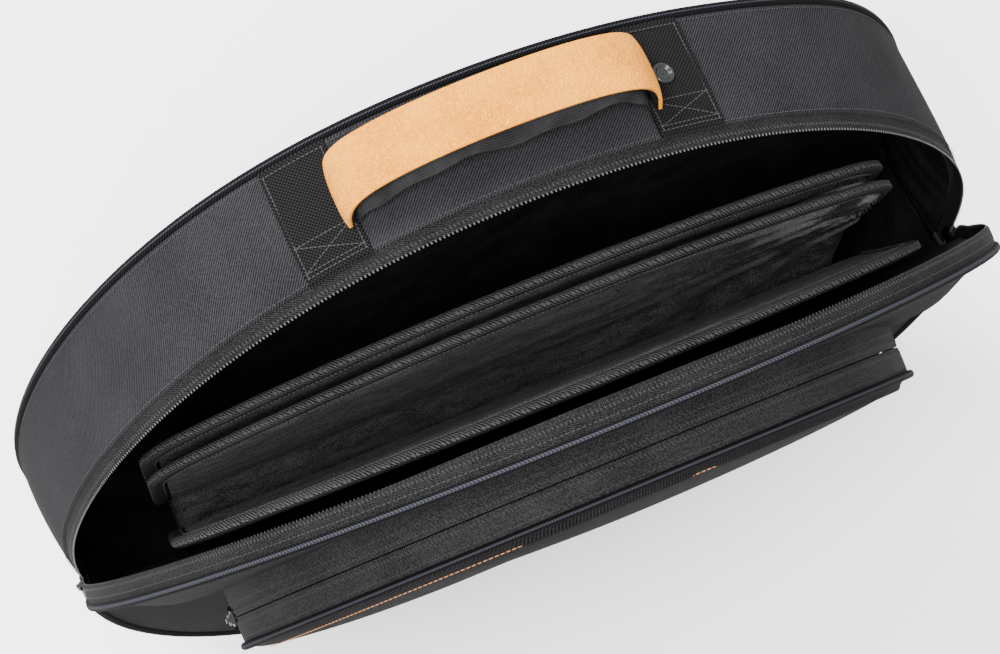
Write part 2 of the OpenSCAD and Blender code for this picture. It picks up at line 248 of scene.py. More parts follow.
def face_out(built):
    """Makes the faces of a closed mesh point outwards."""
    edit(built.data, lambda whole: bmesh.ops.recalc_face_normals(whole, faces=whole.faces))


def grid(name, points, u, v, wrap_rows=False, flip=False):
    """A tube of rows of points: closed round each row, and capped at both ends unless it wraps.

    u holds a distance for each row, and v one for each point of a row, both with one more entry
    where that way closes on itself.
    """
    n, m = points.shape[:2]
    rows = n if wrap_rows else n - 1
    i, j = np.meshgrid(np.arange(rows), np.arange(m), indexing="ij")
    corners = ((0, 0), (1, 0), (1, 1), (0, 1))
    if flip:
        corners = corners[::-1]
    quads = np.stack([(i + a) % n * m + (j + b) % m for a, b in corners], -1)
    faces = quads.reshape(-1, 4).tolist()
    uvs = np.stack([stack(u[i + a], v[j + b], 0)[..., :2] for a, b in corners], -2).reshape(-1, 2)
    verts = points.reshape(-1, 3)
    if not wrap_rows:
        for row in (0, n - 1):
            centre = len(verts)
            verts = np.vstack([verts, points[row].mean(axis=0)])
            fan = [[row * m + a, row * m + (a + 1) % m, centre] for a in range(m)]
            if (row == 0) == flip:
                fan = [face[::-1] for face in fan]
            faces += fan
            uvs = np.vstack([uvs, np.tile([u[row], v[0]], (3 * m, 1))])
    return make_object(name, verts, faces, uvs)


def lengths(points, closed=True):
    """Distance along a polyline to each point, and back to the first one when closed."""
    loop = np.vstack([points, points[:1]]) if closed else points
    steps = np.linalg.norm(np.diff(loop, axis=0), axis=1)
    return np.concatenate([[0], np.cumsum(steps)])


def sample(at, travelled, values):
    """The values, one row for each distance travelled, read at other distances."""
    return np.stack([np.interp(at, travelled, column) for column in values.T], -1)


def slab_section(low, high, start, end, corner=0.8 * MM, crown=0.0, steps=10):
    """A closed section between two heights and two depths, rounded, with a crowned outer face."""
    corner = min(corner, 0.499 * (high - low), 0.499 * (end - start))
    inner_low, inner_high, first, last = low + corner, high - corner, start + corner, end - corner

    def rounded(out, depth, *angles):
        return [(out + corner * cos(radians(a)), depth + corner * sin(radians(a))) for a in angles]

    loop = [(high + crown * 4 * t * (1 - t), first + (last - first) * t) for t in np.linspace(0, 1, steps)]
    loop += rounded(inner_high, last, 30, 60, 90) + rounded(inner_low, last, 120, 150, 180)
    loop += [(low, last - (last - first) * t) for t in np.linspace(0.2, 0.8, 4)]
    loop += rounded(inner_low, first, 180, 210, 240, 270) + rounded(inner_high, first, 300, 330)
    return np.array(loop)


def round_section(out, depth, radius, steps=16):
    turns = np.linspace(0, TAU, steps, endpoint=False)
    return np.stack([out + radius * np.cos(turns), depth + radius * np.sin(turns)], -1)


def arc(start, end, spacing, radius=R):
    count = max(3, int(abs(end - start) * radius / spacing) + 1)
    return np.linspace(start, end, count)


def band(name, place, phis, section, ripple=None, wrap=False):
    """A section swept round the rim, with an optional ripple added to the distance outside it."""
    phi, out, depth = phis[:, None], section[None, :, 0], section[None, :, 1]
    if ripple is not None:
        out = out + ripple(phi, depth)
    points = place(phi, out, depth)
    u = phis * R
    if wrap:
        u = np.append(u, u[0] + TAU * R)
    return grid(name, points, u, lengths(section), wrap_rows=wrap)


def disc(name, edge, centre, profile, place, ruffle=None):
    """A panel inside a closed outline: profile lists (share of the way out, distance in front)."""
    edge_x, edge_z = edge
    share, depth = profile[:, 0][None, :], profile[:, 1][None, :]
    x = share * edge_x[:, None]
    z = centre + share * (edge_z[:, None] - centre)
    if ruffle is not None:
        front_face = np.arange(profile.shape[0])[None, :] < profile.shape[0] // 2
        depth = depth + ruffle(x, z, share) * front_face
    points = place(stack(x, -depth, z))
    n, m = points.shape[:2]
    i, j = np.meshgrid(np.arange(n), np.arange(m - 1), indexing="ij")
    i2 = (i + 1) % n
    quads = np.stack([i * m + j, i * m + j + 1, i2 * m + j + 1, i2 * m + j], -1).reshape(-1, 4)
    flat_xz = np.stack([x, z], -1).reshape(-1, 2)
    built = make_object(name, points, quads.tolist(), flat_xz[quads.ravel()], weld=True)
    face_out(built)
    return built


def flat_profile(shares, near, far):
    """The profile of a thin flat disc, between two depths."""
    return np.array([(s, near) for s in shares] + [(s, far) for s in shares[::-1]])


def unit(vectors):
    return vectors / np.maximum(np.linalg.norm(vectors, axis=-1, keepdims=True), 1e-9)


ROD_SIDES = 6
ROD_RINGS = ((-0.5, 0.45), (-0.36, 0.9), (0.0, 1.0), (0.36, 0.9), (0.5, 0.45))


def rods(name, centres, along, outward, length, radius, flatten=0.75):
    """Many short rounded rods in one mesh, for stitches and zip teeth."""
    along = unit(along)
    side = unit(np.cross(outward, along))
    outward = np.cross(along, side)
    rings = []
    for share, girth in ROD_RINGS:
        for k in range(ROD_SIDES):
            angle = TAU * k / ROD_SIDES
            rings.append(centres + along * length * share
                + (outward * flatten * cos(angle) + side * sin(angle)) * radius * girth)
    verts = np.stack(rings, axis=1)
    per = verts.shape[1]
    base = []
    for ring in range(len(ROD_RINGS) - 1):
        for k in range(ROD_SIDES):
            a, b = ring * ROD_SIDES + k, ring * ROD_SIDES + (k + 1) % ROD_SIDES
            base.append([a, b, b + ROD_SIDES, a + ROD_SIDES])
    caps = [list(range(ROD_SIDES))[::-1], [per - ROD_SIDES + k for k in range(ROD_SIDES)]]
    faces = []
    for index in range(len(centres)):
        offset = index * per
        faces += [[offset + corner for corner in face] for face in base + caps]
    return make_object(name, verts.reshape(-1, 3), faces)


def rim_rods(name, place, start, end, out, depth, pitch, length, radius, across=0.0, spin_radius=R):
    """Rods along the rim at one pitch; across is the angle by which each turns from the rim's line."""
    phis = arc(start, end, pitch, spin_radius)
    tiny = 1e-4
    centres = place(phis, out, depth)
    ahead = place(phis + tiny, out, depth) - centres
    forward = place(phis, out, depth + tiny) - centres
    outward = place(phis, out + tiny, depth) - centres
    along = unit(ahead) * cos(across) + unit(forward) * sin(across)
    return rods(name, centres, along, unit(outward), length, radius)


def zip_rods(name, place, out, depth, pitch, length, radius, lean=0):
    """Rods round the open stretch of the rim, each turned by lean degrees from the rim's line."""
    return rim_rods(name, place, -ZIP_END, ZIP_END, out, depth, pitch, length, radius, radians(lean))


def path_rods(name, points, outward, pitch, length, radius):
    """Rods end to end along a polyline of points, with the outward direction at each point."""
    travelled = lengths(points, closed=False)
    at = np.arange(0.5 * pitch, travelled[-1], pitch)
    centres = sample(at, travelled, points)
    ahead = sample(at + 0.2 * pitch, travelled, points)
    behind = sample(at - 0.2 * pitch, travelled, points)
    return rods(name, centres, ahead - behind, unit(sample(at, travelled, outward)), length, radius)


def join(name, objects):
    """One object from several, by their meshes."""
    whole = bmesh.new()
    for part in objects:
        whole.from_mesh(part.data)
        bpy.data.objects.remove(part)
    mesh = bpy.data.meshes.new(name)
    whole.to_mesh(mesh)
    whole.free()
    mesh.polygons.foreach_set("use_smooth", [True] * len(mesh.polygons))
    return link(name, mesh)


def piece(built, material, body=None, bend=None, nodes=()):
    """Gives a new piece its material and slot, the body or bend it moves by, and what it replaces."""
    built.data.materials.clear()
    built.data.materials.append(material)
    if bend is None:
        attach(built, body)
    else:
        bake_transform(built)
    if nodes:
        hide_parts(*nodes)
    return built


# ---- materials

class Field:
    """A value that varies over a surface. Arithmetic on it makes the nodes that work it out."""

    def __init__(self, tree, socket):
        self.tree, self.socket = tree, socket

    def op(self, operation, *others, clamp=False):
        node = self.tree.nodes.new("ShaderNodeMath")
        node.operation = operation
        node.use_clamp = clamp
        for entry, value in zip(node.inputs, (self,) + others):
            if isinstance(value, Field):
                self.tree.links.new(value.socket, entry)
            else:
                entry.default_value = value
        return Field(self.tree, node.outputs[0])

    def __add__(self, other):
        return self.op("ADD", other)

    def __sub__(self, other):
        return self.op("SUBTRACT", other)

    def __mul__(self, other):
        return self.op("MULTIPLY", other)

    def clamped(self):
        return self.op("ADD", 0.0, clamp=True)

    def wave(self):
        return (self * TAU).op("SINE") * 0.5 + 0.5

    def zigzag(self):
        return self.op("PINGPONG", 0.5) * 2

    def above(self, edge, width):
        """0 below the edge, 1 above it, soft over width."""
        node = self.tree.nodes.new("ShaderNodeMapRange")
        node.interpolation_type = "SMOOTHSTEP"
        self.tree.links.new(self.socket, node.inputs["Value"])
        node.inputs["From Min"].default_value = edge - width / 2
        node.inputs["From Max"].default_value = edge + width / 2
        return Field(self.tree, node.outputs[0])


class Finish:
    """A material being built: its coordinates, noise, colour, roughness and bump."""

    def __init__(self, name, roughness=0.8, sheen=0.0, metallic=0.0, specular=0.3):
        self.material = bpy.data.materials.new(name)
        self.material.use_nodes = True
        self.tree = self.material.node_tree
        self.shader = self.tree.nodes["Principled BSDF"]
        settings = {"Roughness": roughness, "Metallic": metallic, "Specular IOR Level": specular,
            "Sheen Weight": sheen, "Sheen Roughness": 0.45}
        for key, value in settings.items():
            self.shader.inputs[key].default_value = value
        self.coordinates = self.tree.nodes.new("ShaderNodeTexCoord")
        self.u, self.v, _ = self.split("UV")

    def split(self, kind):
        """The three coordinates of one kind, as fields."""
        node = self.tree.nodes.new("ShaderNodeSeparateXYZ")
        self.tree.links.new(self.coordinates.outputs[kind], node.inputs[0])
        return [Field(self.tree, socket) for socket in node.outputs]

    def noise(self, size, detail=2.0, stretch=(1, 1, 1)):
        """Noise whose blotches are about size metres across."""
        mapping = self.tree.nodes.new("ShaderNodeMapping")
        mapping.inputs["Scale"].default_value = stretch
        self.tree.links.new(self.coordinates.outputs["Object"], mapping.inputs["Vector"])
        node = self.tree.nodes.new("ShaderNodeTexNoise")
        node.inputs["Scale"].default_value = 1 / size
        node.inputs["Detail"].default_value = detail
        self.tree.links.new(mapping.outputs[0], node.inputs["Vector"])
        return Field(self.tree, node.outputs[0])

    def colour(self, dark, light, share, tint=None, tint_share=None):
        mixed = self.mix(share, dark, light)
        if tint is not None:
            mixed = self.mix(tint_share, mixed, tint)
        self.tree.links.new(mixed, self.shader.inputs["Base Color"])

    def mix(self, share, a, b):
        node = self.tree.nodes.new("ShaderNodeMix")
        node.data_type = "RGBA"
        self.tree.links.new(share.socket, node.inputs[0])
        for entry, value in ((node.inputs[6], a), (node.inputs[7], b)):
            if isinstance(value, bpy.types.NodeSocket):
                self.tree.links.new(value, entry)
            else:
                entry.default_value = (*value, 1)
        return node.outputs[2]

    def roughness(self, field):
        self.tree.links.new(field.socket, self.shader.inputs["Roughness"])

    def bumped(self, height, depth):
        """The finished material, with a bump of the height field, whose 0 to 1 is depth metres."""
        node = self.tree.nodes.new("ShaderNodeBump")
        node.inputs["Strength"].default_value = 1.0
        node.inputs["Distance"].default_value = depth
        self.tree.links.new(height.socket, node.inputs["Height"])
        self.tree.links.new(node.outputs[0], self.shader.inputs["Normal"])
        return self.material


def twill(name, dark, light, pitch=1.9 * MM, slope=0.45, depth=0.35 * MM):
    """Diagonal weave: slanted ridges broken by the crossing thread."""
    finish = Finish(name, 0.95, specular=0.04)
    ridge = ((finish.u + finish.v * slope) * (1 / pitch)).wave()
    cross = (finish.v * (1 / (0.7 * pitch)) + finish.u * (0.5 / pitch)).wave()
    fleck = finish.noise(1.3 * MM, 3)
    cloud = finish.noise(60 * MM, 3)
    weave = ridge * 0.8 + cross * 0.12 + fleck.above(0.5, 0.3) * 0.26
    finish.colour(dark, light, (weave * 0.85 + cloud * 0.5 - 0.32).clamped())
    return finish.bumped(weave + finish.noise(9 * MM, 2) * 0.8, depth)


def herringbone(name, dark, light, pitch=2.1 * MM, rib=6 * MM, depth=0.5 * MM):
    """Zip tape: slanted ridges that turn back on themselves every rib metres across the tape."""
    finish = Finish(name, 0.9, specular=0.06)
    slant = (finish.v * (1 / rib)).zigzag() * (rib * 0.9)
    ridge = ((finish.u + slant) * (1 / pitch)).wave()
    fleck = finish.noise(1.2 * MM, 3)
    cloud = finish.noise(40 * MM, 2)
    weave = ridge * 0.7 + fleck.above(0.5, 0.3) * 0.4
    finish.colour(dark, light, (weave * 0.8 + cloud * 0.4 - 0.3).clamped())
    return finish.bumped(weave, depth)


def basket(name, dark, light, pitch=2.3 * MM, depth=0.5 * MM):
    """Heavy webbing: over-and-under cells, rows shifted by half a cell."""
    finish = Finish(name, 0.9, specular=0.08)
    across, along = finish.v * (1 / pitch), finish.u * (1 / pitch)
    over = across.wave() * (along + 0.25).wave()
    under = (across + 0.5).wave() * (along - 0.25).wave()
    fibre = finish.noise(0.6 * MM, 2)
    cells = over + under
    finish.colour(dark, light, (cells * 0.9 + fibre * 0.5 - 0.5).clamped())
    return finish.bumped(cells + fibre * 0.35, depth)


def braid(name, dark, light, edge, pitch=2.2 * MM, width=9 * MM, girth=15.5 * MM):
    """Piping: chevrons that meet along the top of the roll, with a painted highlight in the edge colour
    along a narrow line at its top.
    """
    finish = Finish(name, 0.9, specular=0.04)
    slant = (finish.v * (1 / width)).zigzag() * (width * 0.55)
    ridge = ((finish.u + slant) * (1 / pitch)).wave()
    fleck = finish.noise(0.8 * MM, 2)
    weave = ridge * 0.7 + fleck * 0.4
    # Painted highlight: a thin line of the edge colour along the top of the roll, strongest on the ridges.
    painted_highlight = (finish.v * (1 / girth) + 0.25).wave().above(0.985, 0.02)
    finish.colour(dark, light, (weave - 0.25).clamped(), edge, painted_highlight * (ridge * 0.7 + 0.3))
    return finish.bumped(weave, 0.4 * MM)


def plush(name, dark, light, drawn_to=None):
    """Short pile with brushed patches, and painted light and shade of creases drawn to a point (x, z, how
    many round it).
    """
    finish = Finish(name, 1.0, 0.04, specular=0.0)
    nap = finish.noise(16 * MM, 4, (1, 1, 1.6))
    pile = finish.noise(1.3 * MM, 3).above(0.5, 0.4)
    tone = nap * 0.9 + pile * 0.55 - 0.45
    # Painted light and shade of the creases: light and dark stripes fanning out from the point, fading out
    # about 0.17 m from it.
    if drawn_to is not None:
        x, _, z = finish.split("Object")
        x, z = x - drawn_to[0], z - drawn_to[1]
        bearing = z.op("ARCTAN2", x * -1)
        away = (x * x + z * z).op("SQRT")
        near = away.above(0.17, 0.14) * -1 + 1
        fold = (bearing * (drawn_to[2] / TAU) + finish.noise(50 * MM, 2) * 0.9).wave()
        tone = tone + near * (fold.above(0.55, 0.8) * 0.8 - 0.42)
    finish.colour(dark, light, tone.clamped())
    return finish.bumped(pile + nap * 2.0, 0.6 * MM)


def suede(name, dark, mid, light):
    """Brushed suede: fine nap, slow changes of tone, rubbed paler in places."""
    finish = Finish(name, 0.95, 0.04, specular=0.04)
    nap = finish.noise(1.1 * MM, 4).above(0.48, 0.3)
    tone = finish.noise(4 * MM, 5)
    base = finish.mix((nap * 0.45 + tone * 0.9 - 0.1).clamped(), dark, mid)
    rubbed = finish.mix(finish.noise(30 * MM, 2).above(0.5, 0.5) * 0.5, base, light)
    finish.tree.links.new(rubbed, finish.shader.inputs["Base Color"])
    return finish.bumped(nap + tone * 1.5, 0.45 * MM)


def plain_weave(name, dark, light, roughness=0.6, pitch=0.9 * MM, fold=25 * MM):
    """Thin lining cloth: fine square weave with soft rumples."""
    finish = Finish(name, roughness, specular=0.05)
    weave = (finish.u * (1 / pitch)).wave() * 0.5 + (finish.v * (1 / pitch)).wave() * 0.5
    rumple = finish.noise(fold, 3)
    finish.colour(dark, light, (weave * 0.5 + rumple * 0.8 - 0.3).clamped())
    return finish.bumped(weave * 0.3 + rumple * 4, 0.5 * MM)


def moulded(name, dark, light, roughness, specular=0.4, coat=0.0):
    """Nylon or enamel: even colour with faint scuffs in its gloss."""
    finish = Finish(name, roughness, specular=specular)
    scuff = finish.noise(3 * MM, 4)
    finish.colour(dark, light, scuff)
    finish.roughness(scuff * 0.25 + (roughness - 0.1))
    finish.shader.inputs["Coat Weight"].default_value = coat
    return finish.bumped(finish.noise(1.2 * MM, 2), 0.05 * MM)


def thread(name, dark, light):
    """Sewing thread with a fine twist."""
    finish = Finish(name, 0.8, specular=0.1)
    twist = finish.noise(0.5 * MM, 2, (1, 1, 3))
    finish.colour(dark, light, twist)
    return finish.bumped(twist, 0.1 * MM)


def plated(name, dark, light, roughness):
    """Nickel plate: bright metal with fine scratches and a duller cast where it is handled."""
    finish = Finish(name, roughness, metallic=1.0)
    rubbed = finish.noise(4 * MM, 4)
    scratch = finish.noise(0.5 * MM, 2, (1, 6, 1))
    finish.colour(dark, light, rubbed)
    finish.roughness(rubbed * 0.25 + scratch * 0.1 + (roughness - 0.12))
    return finish.bumped(scratch, 0.03 * MM)


CLOTH = twill("outer_twill", (0.003, 0.0029, 0.0032), (0.030, 0.029, 0.0322), slope=0.9, depth=0.4 * MM)
PANEL_CLOTH = twill("panel_twill", (0.0015, 0.0014, 0.0015), (0.017, 0.0163, 0.017), slope=-0.6)
TAPE = herringbone("zip_tape_weave", (0.0012, 0.0012, 0.0013), (0.028, 0.0276, 0.028))
DARK_TAPE = herringbone("pocket_tape_weave", (0.0015, 0.0015, 0.0015), (0.048, 0.0475, 0.048))
WEBBING = basket("webbing_weave", (0.0004, 0.0004, 0.0005), (0.020, 0.0195, 0.020))
# The piping's third colour is a painted highlight along the top of each cord.
PIPING = braid("piping_braid", (0.0012, 0.0012, 0.0014), (0.010, 0.0099, 0.0110), (0.035, 0.036, 0.045))
PLUSH = plush("divider_plush", (0.002, 0.002, 0.002), (0.105, 0.101, 0.103))
# The second divider's plush has painted light and shade of its creases.
CREASE_SHADED_PLUSH = plush("plush_painted_crease_shade", (0.002, 0.002, 0.002), (0.125, 0.121, 0.123), (0.285, 0.40, 20))
BINDING_THREAD = thread("binding_thread", (0.008, 0.008, 0.008), (0.075, 0.075, 0.077))
BINDING = twill("binding_twill", (0.0012, 0.0012, 0.0013), (0.040, 0.0395, 0.040), pitch=2.2 * MM, slope=0.9)
SUEDE = suede("grip_suede", (0.36, 0.112, 0.006), (0.72, 0.262, 0.012), (0.80, 0.335, 0.020))
GRIP_LINING = plain_weave("grip_lining", (0.003, 0.003, 0.003), (0.034, 0.033, 0.036), fold=12 * MM)
LINING = plain_weave("case_lining", (0.0010, 0.0010, 0.0010), (0.022, 0.0215, 0.022))
NYLON = moulded("nylon_teeth", (0.012, 0.012, 0.013), (0.05, 0.05, 0.052), 0.42)
DARK_NYLON = moulded("dark_nylon_teeth", (0.003, 0.003, 0.003), (0.012, 0.012, 0.0125), 0.5, 0.2)
ENAMEL = moulded("black_enamel", (0.003, 0.003, 0.004), (0.008, 0.009, 0.010), 0.3, 0.3, 0.25)
NICKEL = plated("puller_plate", (0.004, 0.004, 0.004), (0.035, 0.035, 0.036), 0.3)
DARK_NICKEL = plated("slider_plate", (0.003, 0.003, 0.003), (0.014, 0.014, 0.015), 0.30)
STEEL = plated("washer_steel", (0.35, 0.35, 0.36), (0.6, 0.6, 0.62), 0.4)
THREAD = thread("black_thread", (0.004, 0.004, 0.005), (0.055, 0.055, 0.058))
TAN_THREAD = thread("tan_thread", (0.30, 0.12, 0.04), (0.50, 0.24, 0.10))


# ---- rim

RIM_SKIN = (-5 * MM, -0.3 * MM)
RIM_LINING = (-6.2 * MM, -5.1 * MM)


def mid_rim(depth, start):
    """1 half way across the rim, 0 at its edges."""
    return np.clip(4 * (depth - start) * (RIM_EDGE - depth) / (RIM_EDGE - start) ** 2, 0, 1)


def rim_ripple(phi, depth):
    """The slight unevenness of padded cloth pulled round a curve."""
    waves = np.sin(9 * phi + 0.7) + 0.6 * np.sin(23 * phi + 40 * depth + 2.1)
    return 0.35 * MM * mid_rim(depth, RIM_START) * waves


def lining_folds(phi, depth):
    """Slack folds in the lining, that cross its width at the sides of the case."""
    sides = smooth((np.abs(phi) - 0.8) / 0.4)
    waves = 1 + np.sin(60 * phi + 45 * depth) * np.sin(17 * phi - 30 * depth)
    return -1.3 * MM * mid_rim(depth, PANEL_T) * sides * waves


def build_rim():
    start, corner, crown = RIM_START - 1 * MM, 1.6 * MM, 1.2 * MM
    section = slab_section(*RIM_SKIN, start, RIM_EDGE, corner, crown, 18)
    upper = band("rim_upper", on_case, arc(-ZIP_END, ZIP_END, 4 * MM), section, rim_ripple)
    piece(upper, CLOTH, "case", nodes=["upper_gusset"])
    section = slab_section(*RIM_SKIN, start, LOWER_RIM_EDGE + 1 * MM, corner, crown, 18)
    lower = band("rim_lower", on_case, arc(ZIP_END - 0.002, TAU - ZIP_END + 0.002, 4 * MM), section)
    piece(lower, CLOTH, "case", nodes=["lower_gusset"])
    section = slab_section(*RIM_LINING, PANEL_T, RIM_EDGE + 1 * MM, 0.4 * MM, 0, 12)
    upper = band("rim_lining_upper", on_case, arc(-ZIP_END, ZIP_END, 3 * MM), section, lining_folds)
    piece(upper, LINING, "case", nodes=["upper_gusset_lining"])
    section = slab_section(*RIM_LINING, PANEL_T, LOWER_RIM_EDGE, 0.4 * MM, 0, 12)
    lower = band("rim_lining_lower", on_case, arc(ZIP_END, TAU - ZIP_END, 6 * MM), section)
    piece(lower, LINING, "case", nodes=["lower_gusset_lining"])
    seams = [
        zip_rods("front_seam", on_case, 0.15 * MM, RIM_EDGE - 1.9 * MM, 3.2 * MM, 2.4 * MM, 0.32 * MM),
        zip_rods("back_seam", on_case, 0.1 * MM, RIM_START + 2 * MM, 3.2 * MM, 2.4 * MM, 0.3 * MM),
    ]
    piece(join("rim_stitches", seams), THREAD, "case")


# ---- back

def back_ruffle(x, z, share):
    """Faint waves in the back cover."""
    return 0.5 * MM * (1 - share ** 4) * np.sin(28 * x + 9 * z) * np.sin(17 * z - 1)


def build_back():
    phis = np.linspace(0, TAU, 220, endpoint=False)
    edge = outline(phis, R - 5 * MM, 5 * MM)
    shares = np.sin(np.linspace(0, pi / 2, 22))
    outer = [(s * 0.994, -4.5 * MM * (1 - s ** 2) ** 0.8 + 2.0 * MM * s ** 24) for s in shares]
    profile = np.array(outer + [(1.0, 4.5 * MM)] + [(s * 0.994, 7.4 * MM) for s in shares[::-1]])
    back = disc("back_panel", edge, CZ, profile, give, back_ruffle)
    piece(back, PANEL_CLOTH, "case", nodes=["back_cover", "back_foam"])
    edge = outline(phis, R - 6.4 * MM, 6.4 * MM)
    lining = disc("back_lining_cloth", edge, CZ, flat_profile(shares, 7.5 * MM, 8.5 * MM), give)
    piece(lining, LINING, "case", nodes=["back_lining"])
    section = round_section(-2.2 * MM, 3.4 * MM, 3.2 * MM)
    cord = band("back_piping_cord", on_case, np.linspace(0, TAU, 460, endpoint=False), section, wrap=True)
    piece(cord, PIPING, "case", nodes=["back_piping"])


# ---- main zip

def build_main_zip():
    span = arc(-ZIP_END, ZIP_END, 3 * MM)
    section = slab_section(TAPE_INNER, -1.7 * MM, RIM_EDGE - 3 * MM, BODY_TAPE_END + 0.5 * MM, 0.4 * MM,
        0.2 * MM)
    tape = band("case_zip_tape", on_case, span, section)
    piece(tape, TAPE, "case", nodes=["body_zip_tape"])
    teeth = zip_rods("case_zip_teeth", on_case, -2.1 * MM, BODY_COIL_END - 1.1 * MM, TEETH_PITCH,
        2.2 * MM, 0.62 * MM, 82)
    piece(teeth, NYLON, "case", nodes=["body_zip_coil"])
    sewing = zip_rods("case_zip_sewing", on_case, -1.55 * MM, BODY_TAPE_END - 2.6 * MM, TEETH_PITCH,
        2.2 * MM, 0.3 * MM, 70)
    piece(sewing, THREAD, "case")

    section = slab_section(TAPE_INNER, -1.5 * MM, FRONT_COIL_START + 1.2 * MM, LOWER_RIM_EDGE + 3.5 * MM,
        0.4 * MM, 0.6 * MM)
    tape = band("front_zip_tape_cloth", on_front, span, section)
    piece(tape, TAPE, bend=front_bend, nodes=["front_zip_tape", "zip_closed_ends"])
    teeth = zip_rods("front_zip_teeth", on_front, -2.9 * MM, FRONT_COIL_START + 1.4 * MM, TEETH_PITCH,
        2.2 * MM, 0.62 * MM, 98)
    piece(teeth, DARK_NYLON, bend=front_bend, nodes=["front_zip_coil"])
    seams = [
        zip_rods("ribs", on_front, -1.25 * MM, FRONT_COIL_START + 3.4 * MM, TEETH_PITCH, 1.9 * MM,
            0.34 * MM, 68),
        zip_rods("seam", on_front, -0.95 * MM, LOWER_RIM_EDGE - 1.2 * MM, 3.2 * MM, 2.3 * MM, 0.28 * MM),
    ]
    piece(join("front_zip_stitches", seams), THREAD, bend=front_bend)

    section = slab_section(-1.2 * MM, 1.2 * MM, BODY_COIL_END - 8 * MM, BODY_COIL_END + 9 * MM, 1.0 * MM,
        0.5 * MM)
    for side, label in SIDES:
        middle = side * (ZIP_END + radians(1.4))
        phis = arc(middle - 8 * MM / R, middle + 8 * MM / R, 1 * MM)
        tab = band(f"{label}_zip_tab", on_case, phis, section)
        piece(tab, CLOTH, "case", nodes=["zip_end_tabs"] if side < 0 else [])


# ---- front panel

PANEL_BELLY = 12 * MM


def panel_ruffle(x, z, share):
    """Slack in the outer cloth: soft creases that run across it, most near the fold."""
    near_fold = bump_at(z, FOLD.z, 0.06)
    slack = 0.9 * MM * np.sin(70 * z + 9 * x) * near_fold + 0.5 * MM * np.sin(31 * z - 13 * x + 1)
    belly = PANEL_BELLY * smooth((1 - share) / 0.18) * bump_at(z, FOLD.z + 0.045, 0.12)
    belly = belly * smooth((z - FOLD.z + 0.012) / 0.05) * (1 + 0.45 * smooth((x - 0.12) / 0.1))
    return (slack * (1 - share ** 6) + belly) * (share < AT_EDGE)


def build_front():
    phis = np.linspace(0, TAU, 260, endpoint=False)
    edge = outline(phis, R - 2.0 * MM, 2.0 * MM)
    shares = np.sin(np.linspace(0, pi / 2, 30))
    swell = 9 * MM * (1 - shares ** 2) ** 0.75 - 1.5 * MM * shares ** 30
    face = [(s * 0.996, DEPTH - 0.5 * MM + rise) for s, rise in zip(shares, swell)]
    rear = [(s * 0.992, DEPTH - 7.5 * MM) for s in shares[::-1]]
    profile = np.array(face + [(1.0, DEPTH - 4.5 * MM)] + rear)
    front = disc("front_panel_pad", edge, CZ, profile, front_bend, panel_ruffle)
    piece(front, PANEL_CLOTH, bend=front_bend,
        nodes=["front_cover", "front_foam", "lower_front_cover", "lower_front_foam"])
    edge = outline(phis, R - 6.4 * MM, 6.4 * MM)
    profile = flat_profile(shares, DEPTH - 7.6 * MM, DEPTH - 8.6 * MM)
    lining = disc("front_lining_cloth", edge, CZ, profile, front_bend)
    piece(lining, LINING, bend=front_bend, nodes=["front_lining", "lower_front_lining"])
    section = round_section(-1.5 * MM, DEPTH - 2.2 * MM, 2.6 * MM)
    cord = band("front_piping_cord", on_front, np.linspace(0, TAU, 460, endpoint=False), section, wrap=True)
    piece(cord, PIPING, bend=front_bend, nodes=["front_piping", "lower_front_piping"])


# ---- pocket

POCKET_CROWN = 12 * MM
POCKET_MIDDLE = 385 * MM
CONTRAST_SHARE = 1 - 11.5 * MM / POCKET_R


def face_outline(phis):
    return outline(phis, POCKET_R - 3.2 * MM, POCKET_BASE + 0.5 * MM)


def face_crown(share):
    return POCKET_CROWN * (1 - share ** 2) ** 0.45


def face_ruffle(x, z, share):
    """Slack in the face, and a roll of cloth that hides the contrast stitches past the middle."""
    slack = 0.7 * MM * (1 - share ** 5) * np.sin(26 * x + 33 * z)
    roll = 2.4 * MM * bump_at(share, CONTRAST_SHARE + 0.014, 0.008)
    hidden = smooth((x + 0.075) / 0.02) * (1 - 0.9 * bump_at(x, 0.047, 0.006))
    return (slack + roll * hidden) * (share < AT_EDGE)


def build_pocket_zip():
    """Tapes, teeth and stitches: the rear ones on the panel, the front ones on the face."""
    depth = POCKET_DEPTHS
    end = radians(92.5)
    for label, body, start, stop in (
            ("rear", "front_panel", DEPTH - 20 * MM, depth["rear"] + 1.9 * MM),
            ("front", "pocket_flap", depth["front"] - 1.9 * MM, depth["tape_end"] + 1 * MM)):
        section = slab_section(TAPE_INNER, -1.6 * MM, start, stop, 0.4 * MM, 0.3 * MM)
        tape = band(f"pocket_tape_{label}", on_pocket, arc(-end, end, 3 * MM), section)
        piece(tape, DARK_TAPE, body, nodes=[f"pocket_{label}_tape"])
    for label, body, at, lean in (("rear", "front_panel", depth["rear"] + 0.9 * MM, 82),
            ("front", "pocket_flap", depth["front"] - 0.9 * MM, 98)):
        teeth = rim_rods(f"pocket_teeth_{label}", on_pocket, -POCKET_ZIP_END, POCKET_ZIP_END, -2.9 * MM, at,
            TEETH_PITCH, 2.2 * MM, 0.7 * MM, radians(lean), POCKET_R)
        piece(teeth, DARK_NYLON, body, nodes=[f"pocket_{label}_coil"])
    for label, body, at, seam_at in (
            ("rear", "front_panel", depth["rear"] - 1.4 * MM, depth["rear"] - 6.4 * MM),
            ("front", "pocket_flap", depth["front"] + 1.4 * MM, depth["front"] + 10.9 * MM)):
        ribs = rim_rods("ribs", on_pocket, -end, end, -1.45 * MM, at, TEETH_PITCH, 2.2 * MM, 0.38 * MM,
            radians(60), POCKET_R)
        line = rim_rods("seam", on_pocket, -end, end, -1.4 * MM, seam_at, 3.2 * MM, 2.3 * MM, 0.28 * MM, 0,
            POCKET_R)
        piece(join(f"pocket_stitches_{label}", [ribs, line]), THREAD, body)


